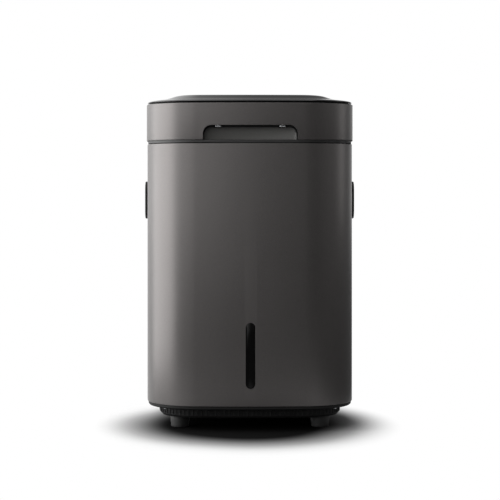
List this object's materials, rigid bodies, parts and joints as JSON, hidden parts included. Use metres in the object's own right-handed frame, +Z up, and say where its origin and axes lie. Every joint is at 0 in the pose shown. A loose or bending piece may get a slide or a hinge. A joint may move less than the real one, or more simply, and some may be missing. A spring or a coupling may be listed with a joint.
{
  "type": "electric food waste composter",
  "caption": "Free-standing cabinet with a rear-hinged lid over a heated, stirred tub, with a rear filter unit that pulls out.",
  "frame": {"origin": "on the table under the middle of the cabinet's outline", "axes": "+Z up, the front with its window and pull recess faces -Y, +X to the right seen from the front"},
  "size_m": [0.3044, 0.322, 0.474],
  "materials": {
    "painted_shell": "satin charcoal paint with a fine metallic grain",
    "gloss_black": "polished",
    "black_moulding": "fine spark-eroded grain",
    "grey_moulding": "satin",
    "foot_rubber": "matte",
    "seal_rubber": "matte",
    "zinc_steel": "zinc plated",
    "ground_steel": "ground",
    "stainless": "brushed",
    "cast_housing": "die cast",
    "tub_plastic": "moulded",
    "nylon": "moulded",
    "brass": "machined",
    "motor_case": "painted",
    "circuit_board": "solder resist",
    "heater_film": "polyimide film",
    "sensor_shell": "moulded",
    "carbon": "carbon cloth"
  },
  "bodies": {
    "cabinet": {"outer_shell": "painted_shell", "base_tray": "black_moulding", "front_left_foot": "foot_rubber", "front_right_foot": "foot_rubber", "rear_left_foot": "foot_rubber", "rear_right_foot": "foot_rubber", "base_screws": "zinc_steel", "top_deck": "black_moulding", "deck_screws": "zinc_steel", "tub": "tub_plastic", "heater_pad": "heater_film", "humidity_sensor": "sensor_shell", "left_bearing_housing": "cast_housing", "right_bearing_housing": "cast_housing", "left_bearing": "ground_steel", "right_bearing": "ground_steel", "left_shaft_seal": "seal_rubber", "right_shaft_seal": "seal_rubber", "gear_plate": "zinc_steel", "gear_motor": "motor_case", "motor_screws": "zinc_steel", "idler_axle": "ground_steel", "exhaust_duct": "black_moulding", "fan_frame": "black_moulding", "filter_bay": "black_moulding", "power_board": "circuit_board", "control_board": "circuit_board", "mains_inlet": "black_moulding", "window_lens": "gloss_black", "sensor_board": "circuit_board", "left_grip": "black_moulding", "right_grip": "black_moulding"},
    "lid": {"lid_skirt": "painted_shell", "lid_panel": "gloss_black", "touch_board": "circuit_board", "lid_liner": "grey_moulding", "lid_gasket": "seal_rubber", "pull_cup": "grey_moulding", "pull_studs": "ground_steel", "left_hinge_bracket": "zinc_steel", "right_hinge_bracket": "zinc_steel", "left_hinge_pin": "ground_steel", "right_hinge_pin": "ground_steel", "lid_screws": "zinc_steel"},
    "agitator": {"agitator_shaft": "stainless", "mixing_arms": "stainless", "drive_gear": "nylon", "shaft_clip": "zinc_steel"},
    "idler": {"idler_gear": "nylon"},
    "pinion": {"motor_pinion": "brass"},
    "fan": {"fan_rotor": "black_moulding"},
    "filter_unit": {"rear_cover": "black_moulding", "filter_frame": "black_moulding", "carbon_pack": "carbon"}
  },
  "joints": [
    {"name": "lid_hinge", "type": "hinge", "parent": "cabinet", "child": "lid", "pos_m": [0, 0.1475, 0.43], "axis": [-1, 0, 0], "range_deg": [0, 95]},
    {"name": "agitator_spin", "type": "hinge", "parent": "cabinet", "child": "agitator", "pos_m": [0, -0.032, 0.16], "axis": [1, 0, 0], "continuous": true},
    {"name": "idler_spin", "type": "hinge", "parent": "cabinet", "child": "idler", "pos_m": [0.125, 0.07052, 0.14192], "axis": [1, 0, 0], "continuous": true},
    {"name": "pinion_spin", "type": "hinge", "parent": "cabinet", "child": "pinion", "pos_m": [0.125, 0.08834, 0.09297], "axis": [1, 0, 0], "continuous": true},
    {"name": "fan_spin", "type": "hinge", "parent": "cabinet", "child": "fan", "pos_m": [0, 0.11925, 0.318], "axis": [0, 0, 1], "continuous": true},
    {"name": "filter_slide", "type": "slide", "parent": "cabinet", "child": "filter_unit", "axis": [0, 1, 0], "range_m": [0, 0.09]}
  ],
  "couplings": [
    {"joint": "idler_spin", "follows": "agitator_spin", "ratio": -1.7368},
    {"joint": "pinion_spin", "follows": "agitator_spin", "ratio": 4.7143}
  ]
}
